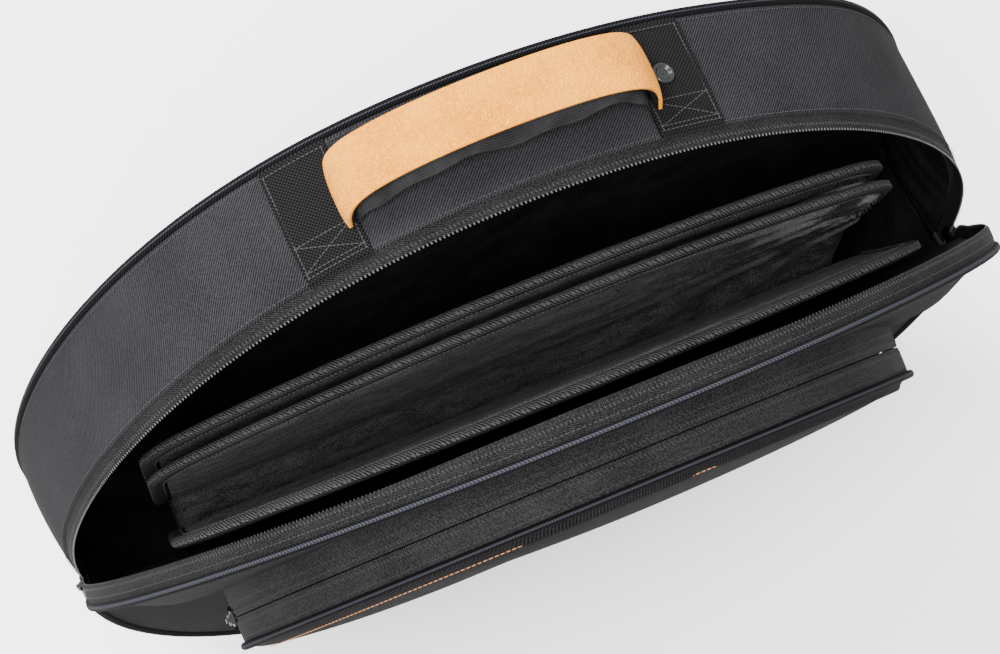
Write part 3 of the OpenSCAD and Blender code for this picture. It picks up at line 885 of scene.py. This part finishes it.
def build_pocket_floor():
    depth = POCKET_DEPTHS
    floor = slab_section(-2 * MM, 0, DEPTH - 20 * MM, depth["end"] - 1 * MM, 0.8 * MM, 0.3 * MM)
    spans = np.linspace(-POCKET_R + 6 * MM, POCKET_R - 6 * MM, 60)
    points = stack(spans[:, None], -floor[:, 1], POCKET_BASE - 0.5 * MM + floor[:, 0])
    strip = grid("pocket_floor", in_pocket_place(points), spans, lengths(floor))
    piece(strip, PANEL_CLOTH, "front_panel", nodes=["pocket_bottom_strip"])

    section = slab_section(-1.5 * MM, 1.0 * MM, depth["middle"] - 8 * MM, depth["middle"] + 8 * MM, 1 * MM,
        0.4 * MM)
    for side, label in SIDES:
        at = side * radians(92)
        phis = arc(at - radians(1.5), at + radians(1.5), 1 * MM)
        tab = band(f"pocket_tab_{label}", on_pocket, phis, section)
        piece(tab, CLOTH, "front_panel", nodes=["pocket_end_tabs"] if side < 0 else [])


def build_pocket_face():
    depth = POCKET_DEPTHS
    shares = np.sin(np.linspace(0, pi / 2, 60))
    face = [(s * 0.99, depth["end"] - 1 * MM + face_crown(s) - 1 * MM * s ** 30) for s in shares]
    rear = [(s * 0.99, depth["end"] - 3 * MM) for s in shares[::-1]]
    profile = np.array(face + [(1.0, depth["end"] - 2.5 * MM)] + rear)
    edge = face_outline(np.linspace(-pi, pi, 240, endpoint=False))
    pad = disc("pocket_face_pad", edge, POCKET_MIDDLE, profile, in_pocket_place, face_ruffle)
    piece(pad, PANEL_CLOTH, "pocket_flap", nodes=["pocket_face"])

    phis = arc(-radians(116), radians(116), 2.2 * MM, POCKET_R)
    section = round_section(-0.8 * MM, depth["end"] - 2.6 * MM, 2.5 * MM)
    cord = band("pocket_piping_cord", on_pocket, phis, section)
    piece(cord, PIPING, "pocket_flap", nodes=["pocket_piping"])

    edge_x, edge_z = face_outline(np.linspace(-radians(88), radians(88), 500))
    x, z = CONTRAST_SHARE * edge_x, POCKET_MIDDLE + CONTRAST_SHARE * (edge_z - POCKET_MIDDLE)
    level = depth["end"] - 0.8 * MM + face_crown(CONTRAST_SHARE)
    points = in_pocket_place(stack(x, -level, z))
    outward = in_pocket_place(stack(x, -level - 1 * MM, z)) - points
    seam = path_rods("pocket_tan_stitches", points, outward, 3.6 * MM, 2.7 * MM, 0.4 * MM)
    piece(seam, TAN_THREAD, "pocket_flap")


# ---- handle

# Pitch, length and radius of a stitch on the patches.
PATCH_STITCH = (2.6 * MM, 2.1 * MM, 0.36 * MM)
CROSS_START = 55 * MM


def patch_ripple(phi, depth):
    """The rolled edges of the webbing."""
    edge = np.minimum(np.abs(np.abs(phi) - PATCH_IN), np.abs(np.abs(phi) - PATCH_OUT)) * R
    return 0.25 * MM * np.sin(depth * TAU / (2.3 * MM)) * np.exp(-edge / (1.2 * MM))


def patch_line(phi, depths, out):
    """A line of stitches on the webbing, through the angles and depths."""
    points = on_case(phi, out, depths)
    above = on_case(phi, out + 1 * MM, depths)
    return path_rods("line", points, above - points, *PATCH_STITCH)


def build_patches():
    section = slab_section(-0.1 * MM, 1.7 * MM, RIM_START - 0.5 * MM, RIM_EDGE, 0.8 * MM, 0.9 * MM, 60)
    front_row, back_row = RIM_EDGE - 5.6 * MM, RIM_START + 4 * MM
    for side, label in SIDES:
        phis = np.sort(side * arc(PATCH_IN, PATCH_OUT, 0.8 * MM))
        strip = band(f"{label}_patch_webbing", on_case, phis, section, patch_ripple)
        piece(strip, WEBBING, "case", nodes=[f"{label}_handle_patch"])
        inner, outer = side * (PATCH_IN + 2.2 * MM / R), side * (PATCH_OUT - 2.2 * MM / R)
        low, high = sorted((inner, outer))
        rows = [rim_rods("row", on_case, low, high, 2.4 * MM, depth, *PATCH_STITCH)
            for depth in (RIM_EDGE - 3 * MM, front_row, back_row, CROSS_START)]
        for phi in (inner, outer):
            depths = np.linspace(back_row, RIM_EDGE - 3 * MM, 80)
            rows.append(patch_line(phi, depths, 2.35 * MM))
        for start, stop in ((inner, outer), (outer, inner)):
            across = np.linspace(start, stop, 60)
            rows.append(patch_line(across, np.linspace(CROSS_START, front_row, 60), 2.5 * MM))
        piece(join(f"{label}_patch_stitches", rows), THREAD, "case")


def build_rivets():
    """Each cap is turned from one profile: a raised rim round a dished middle."""
    profile = [(0.0, -0.2), (6.4, 0.0), (6.6, 0.7), (6.4, 1.6), (5.9, 2.3), (5.2, 2.6), (4.6, 2.3),
        (4.2, 1.5), (3.4, 0.95), (2.2, 0.7), (1.0, 0.6), (0.0, 0.58)]
    radius, height = np.array(profile).T * MM
    turns = np.linspace(0, TAU, 48, endpoint=False)[:, None]
    local = stack(radius * np.cos(turns), radius * np.sin(turns), height)
    n, m = local.shape[:2]
    faces = [[i * m + j, (i + 1) % n * m + j, (i + 1) % n * m + j + 1, i * m + j + 1]
        for i in range(n) for j in range(m - 1)]
    caps = []
    for side in (-1, 1):
        place = (Matrix.Translation((0, -HANDLE_Y, CZ)) @ Matrix.Rotation(side * RIVET_AT, 4, "Y")
            @ Matrix.Translation((0, 0, R + 2.2 * MM)))
        moved = [tuple(place @ Vector(corner)) for corner in local.reshape(-1, 3)]
        cap = make_object("cap", moved, faces, weld=True)
        face_out(cap)
        caps.append(cap)
    piece(join("rivet_cap_rings", caps), ENAMEL, "case", nodes=["rivet_caps"])
    dress(frame["nodes"]["rivet_washers"], STEEL)


def dress(node, material, bevel=0.0):
    """A new material, and softened edges, for a CAD node that stays."""
    node.data.materials.clear()
    node.data.materials.append(material)
    if bevel:
        rounding = node.modifiers.new("edges", "BEVEL")
        rounding.width = bevel
        rounding.segments = 2
        rounding.limit_method = "ANGLE"


def catmull(points, steps):
    """A smooth curve through the points, evenly stepped between them."""
    points = np.asarray(points, float)
    padded = np.vstack([2 * points[0] - points[1], points, 2 * points[-1] - points[-2]])
    out = []
    for k in range(len(points) - 1):
        p0, p1, p2, p3 = padded[k:k + 4]
        for t in np.linspace(0, 1, steps, endpoint=False):
            out.append(0.5 * (2 * p1 + (p2 - p0) * t + (2 * p0 - 5 * p1 + 4 * p2 - p3) * t * t
                + (3 * p1 - p0 - 3 * p2 + p3) * t ** 3))
    out.append(points[-1])
    return np.array(out)


HANDLE_SIDE = [
    (0.0, 0.0), (28, -1.2), (52, -4.6), (70, -9.5), (82, -15.5), (89.5, -24), (92.5, -34), (92.5, -46.5)]
HANDLE_ROOT = (578 * MM, 602 * MM)
GRIP_SET = -1.0 * MM
GRIP_LEAN = 2.5 * MM


def grip_width(share):
    """Half the width of the grip, for the share of the way from its middle to an end."""
    return (17.6 + 1.9 * np.abs(share) ** 6) * MM


def handle_path():
    """The middle line of the handle's top face, from the left patch over to the right one."""
    right = [(x * MM, HANDLE_TOP + z * MM) for x, z in HANDLE_SIDE]
    left = [(-x, z) for x, z in right[:0:-1]]
    return catmull(left + right, 8)


def handle_strip(name, drop, thickness, narrower, crown, fold, sag=None):
    """A strip under the handle's top line: drop below it, crowned across, edges folded down."""
    path = handle_path()
    tangent = unit(np.gradient(path, axis=0))
    normal = np.stack([-tangent[:, 1], tangent[:, 0]], -1)
    travelled = lengths(path, closed=False)
    middle = travelled / travelled[-1] * 2 - 1
    across = np.sin(np.linspace(-pi / 2, pi / 2, 17))
    top = crown * (1 - across ** 2) - fold * np.abs(across) ** 5
    loop_w = np.concatenate([across, across[::-1] * 0.985])
    loop_h = np.concatenate([top, top[::-1] - thickness])
    half = grip_width(middle) - narrower
    height = -drop + loop_h[None, :] + 0 * half[:, None]
    lean = GRIP_SET + GRIP_LEAN * (1 - middle ** 4)
    side = lean[:, None] - HANDLE_Y - half[:, None] * loop_w[None, :]
    if sag is not None:
        shift_y, shift_h = sag(middle[:, None], loop_w[None, :])
        height = height + shift_h
        side = side + shift_y
    x = path[:, 0][:, None] + normal[:, 0][:, None] * height
    z = path[:, 1][:, None] + normal[:, 1][:, None] * height
    points = stack(x, side, z)
    v = lengths(np.stack([loop_w * (grip_width(0) - narrower), loop_h], -1))
    return grid(name, points, travelled, v, flip=True)


def droop(share, across):
    """How far the lining under the grip hangs out and down, at its front edge."""
    front = np.clip(across, 0, 1) ** 1.5
    hang = MM * front * (1 - share ** 4)
    hang = hang * (1 + 0.22 * np.sin(7.3 * share + 0.4) + 0.14 * np.sin(17 * share + 1.1))
    return -3.0 * hang, -11.0 * hang


def build_handle():
    bend = Bend("handle_swing", 0.0, 20 * MM)
    bend.start, bend.end = (np.array([0, -HANDLE_Y, height]) for height in HANDLE_ROOT)
    grip = handle_strip("grip_suede", 0.6 * MM, 2.0 * MM, 0.0, 1.0 * MM, 1.0 * MM)
    piece(grip, SUEDE, bend=bend, nodes=["handle_grip"])
    core = handle_strip("grip_webbing", 2.9 * MM, 2.6 * MM, 1.6 * MM, 0.8 * MM, 0.8 * MM)
    piece(core, WEBBING, bend=bend, nodes=["handle_core", "handle_strap_ends"])
    lining = handle_strip("grip_lining_cloth", 5.8 * MM, 1.0 * MM, 0.6 * MM, 0.6 * MM, 0.8 * MM, droop)
    piece(lining, GRIP_LINING, bend=bend, nodes=["handle_lining"])


# ---- dividers

# The point that each divider's creases run to, as x and z, how many there are, their reach and height.
DIVIDER_CREASES = {
    1: (0.262, 0.36, 20, 0.10, 3.0 * MM),
    2: (0.272, 0.37, 22, 0.14, 6.0 * MM),
    3: (-0.262, 0.33, 14, 0.07, 1.2 * MM),
}


def arched_top(x, inset):
    """Height of a divider's outline at x, for the outline moved in by inset."""
    arc_z = DIVIDER_TOP - DIVIDER_ARC
    shoulder_x = DIVIDER_HALF - DIVIDER_CORNER
    reach = DIVIDER_ARC - DIVIDER_CORNER
    shoulder_z = arc_z + sqrt(reach ** 2 - shoulder_x ** 2)
    arc_r, corner_r = DIVIDER_ARC - inset, DIVIDER_CORNER - inset
    x = np.abs(x)
    crown = arc_z + np.sqrt(arc_r ** 2 - x ** 2)
    shoulder = shoulder_z + np.sqrt(np.maximum(corner_r ** 2 - (x - shoulder_x) ** 2, 0))
    return np.where(x < arc_r * shoulder_x / reach, crown, shoulder)


def divider_edge(fold_z):
    """The outline of a divider above its fold, as points and the inward normals, left to right."""
    half = DIVIDER_HALF * np.sin(np.linspace(-pi / 2, pi / 2, 700))
    top = np.stack([half, arched_top(half, 0)], -1)
    rise = np.linspace(fold_z + 4 * MM, top[0, 1], 60, endpoint=False)
    left = np.stack([0 * rise - DIVIDER_HALF, rise], -1)
    right = left[::-1] * [-1, 1]
    loop = np.vstack([left, top, right])
    travelled = lengths(loop, closed=False)
    even = np.linspace(0, travelled[-1], int(travelled[-1] / (1.2 * MM)))
    points = sample(even, travelled, loop)
    tangent = unit(np.gradient(points, axis=0))
    return even, points, np.stack([tangent[:, 1], -tangent[:, 0]], -1)


def divider_pad(number, back, fold_z, bend):
    """The padded board and the web below it, with creases drawn to one point of its edge."""
    half = DIVIDER_HALF - BINDING_W + 1 * MM
    x = half * np.sin(np.linspace(-pi / 2, pi / 2, 120))[:, None]
    share = np.concatenate([np.linspace(0, 0.36, 10, endpoint=False),
        np.linspace(0.36, 0.62, 24, endpoint=False), np.linspace(0.62, 1, 26)])
    loop_share = np.concatenate([share, share[::-1]])
    face = np.concatenate([np.ones(len(share)), -np.ones(len(share))])
    bottom = np.maximum(CZ - np.sqrt((R - 6.4 * MM) ** 2 - x ** 2), 6.6 * MM) + 0.2 * MM
    top = arched_top(x, BINDING_W - 1 * MM)
    z = bottom + (top - bottom) * loop_share
    edge = np.sqrt(np.clip((top - z) / (14 * MM), 0, 1) * np.clip((half - np.abs(x)) / (12 * MM), 0, 1))
    pad = 1.7 * MM + 1.6 * MM * edge
    crease_x, crease_z, count, reach, height = DIVIDER_CREASES[number]
    away = np.hypot(x - crease_x, z - crease_z)
    bearing = np.arctan2(z - crease_z, x - crease_x)
    wave = height * np.sin(count * bearing) * np.exp(-away / reach) * smooth(away / 0.02)
    sway = 1.2 * MM * np.sin(9 * x + 1 + number) * np.clip((z - fold_z) / 0.2, 0, 1)
    points = bend(stack(x, -back - face * pad - wave - sway * edge, z))
    v = lengths(np.stack([0 * loop_share, loop_share], -1)) * 0.4
    board = grid(f"divider_{number}_pad", points, x[:, 0], v)
    face_out(board)
    # The second divider gets the plush with the painted crease shade.
    piece(board, CREASE_SHADED_PLUSH if number == 2 else PLUSH, bend=bend,
        nodes=[f"divider_{number}_board", f"divider_{number}_web"])


def divider_binding(name, edge, back, bend):
    """The binding folded round the edge, whose outer turn is ropy."""
    travelled, outline_xz, inward = edge
    loop = [(BINDING_W * 0.42 * (1 - sin(t)), 3.3 * MM * cos(t)) for t in np.linspace(0, pi, 9)]
    loop += [(BINDING_W * 0.8, -3.4 * MM), (BINDING_W + 2 * MM, -3.0 * MM), (BINDING_W + 2.4 * MM, -1 * MM),
        (BINDING_W + 2.4 * MM, 1 * MM), (BINDING_W + 2 * MM, 3.0 * MM), (BINDING_W * 0.8, 3.4 * MM)]
    loop = np.array(loop)
    rope = 0.22 * MM * np.sin(TAU * (travelled[:, None] / (3 * MM) + loop[:, 1] / (7 * MM)))
    inset = loop[:, 0] + rope * (loop[:, 0] < BINDING_W * 0.5)
    x = outline_xz[:, :1] + inward[:, :1] * inset
    z = outline_xz[:, 1:] + inward[:, 1:] * inset
    points = bend(stack(x, -back - loop[:, 1], z))
    tube = grid(name + "_edge_binding", points, travelled, lengths(loop))
    face_out(tube)
    piece(tube, BINDING, bend=bend, nodes=[name + "_binding"])


def divider_stitches(name, edge, back, bend):
    """A row of stitches on each face of the binding, and slanted ones over its outer turn."""
    travelled, outline_xz, inward = edge
    rows = []
    seam = outline_xz + inward * (BINDING_W * 0.95)
    for face_side in (-1, 1):
        line = stack(seam[:, 0], -back - face_side * 3.5 * MM, seam[:, 1])
        outward = np.tile([0.0, -face_side, 0.0], (len(seam), 1))
        rows.append(path_rods("row", bend(line), outward, 3.0 * MM, 2.1 * MM, 0.36 * MM))
    spots = np.arange(20, len(travelled) - 20, 2.5).astype(int)
    inward = inward[spots]
    at = outline_xz[spots] + inward * 0.3 * MM
    slanted = unit(stack(-inward[:, 1], 0, inward[:, 0])) * 0.8 + np.array([0, -1.0, 0])
    outward = -stack(inward[:, 0], 0, inward[:, 1])
    centres = bend(stack(at[:, 0], -back, at[:, 1]))
    rows.append(rods("wraps", centres, slanted, outward, 4.6 * MM, 0.5 * MM, 0.7))
    piece(join(name + "_binding_stitches", rows), BINDING_THREAD, bend=bend)


def build_dividers():
    for number in DIVIDER_CREASES:
        name = f"divider_{number}"
        joint = JOINTS[name + "_lean"]
        back, fold_z = -joint["pos_m"][1], joint["pos_m"][2]
        bend = Bend(name + "_lean", 18 * MM, 24 * MM)
        divider_pad(number, back, fold_z, bend)
        edge = divider_edge(fold_z)
        divider_binding(name, edge, back, bend)
        divider_stitches(name, edge, back, bend)


# ---- metal, floor, light, camera

def dress_metal():
    for label in ("left", "right", "pocket"):
        dress(frame["nodes"][f"{label}_slider"], DARK_NICKEL, 0.25 * MM)
        dress(frame["nodes"][f"{label}_puller"], NICKEL, 0.3 * MM)


def build_floor():
    half, height = 4.0, -0.4 * MM
    corners = [(x * half, y * half, height) for x, y in ((-1, -1), (1, -1), (1, 1), (-1, 1))]
    mesh = bpy.data.meshes.new("floor")
    mesh.from_pydata(corners, [], [(0, 1, 2, 3)])
    floor = link("floor", mesh)
    finish = Finish("pale_floor", 0.85, specular=0.1)
    finish.colour((0.94, 0.94, 0.94), (0.97, 0.97, 0.97), finish.noise(0.4, 2))
    floor.data.materials.append(finish.material)


def add_area(name, position, aim, size, power):
    data = bpy.data.lights.new(name, "AREA")
    data.energy, data.size, data.shape = power, size, "DISK"
    light = link(name, data)
    light.location = position
    light.rotation_euler = (Vector(aim) - Vector(position)).to_track_quat("-Z", "Y").to_euler()


def build_light():
    world = bpy.data.worlds.new("studio")
    world.use_nodes = True
    background = world.node_tree.nodes["Background"]
    background.inputs["Color"].default_value = (1.0, 1.0, 1.0, 1)
    background.inputs["Strength"].default_value = 1.8
    bpy.context.scene.world = world
    middle = (0, -0.1, 0.3)
    add_area("key", (-0.9, 1.1, 2.4), middle, 1.2, 150)
    add_area("fill", (-0.6, -0.9, 2.8), middle, 1.2, 170)


CAMERA = dict(focal_mm=110.18, distance=1.8626, elevation=69.416, azimuth=-21.552, roll=-1.533,
    target=(-0.0068, -0.060, 0.3426))


def build_camera():
    data = bpy.data.cameras.new("camera")
    data.sensor_width, data.lens, data.clip_end = 36.0, CAMERA["focal_mm"], 50
    camera = link("camera", data)
    el, az, roll = (radians(CAMERA[key]) for key in ("elevation", "azimuth", "roll"))
    back = Vector((sin(az) * cos(el), -cos(az) * cos(el), sin(el)))
    right = (-back).cross(Vector((0, 0, 1))).normalized()
    up = right.cross(-back)
    across = right * cos(roll) + up * sin(roll)
    upright = up * cos(roll) - right * sin(roll)
    turned = Matrix((across, upright, back)).transposed().to_4x4()
    camera.matrix_world = Matrix.Translation(Vector(CAMERA["target"]) + back * CAMERA["distance"]) @ turned
    bpy.context.scene.camera = camera


build_rim()
build_back()
build_main_zip()
build_front()
build_pocket_zip()
build_pocket_floor()
build_pocket_face()
build_patches()
build_rivets()
build_handle()
build_dividers()
dress_metal()
build_floor()
build_light()
build_camera()
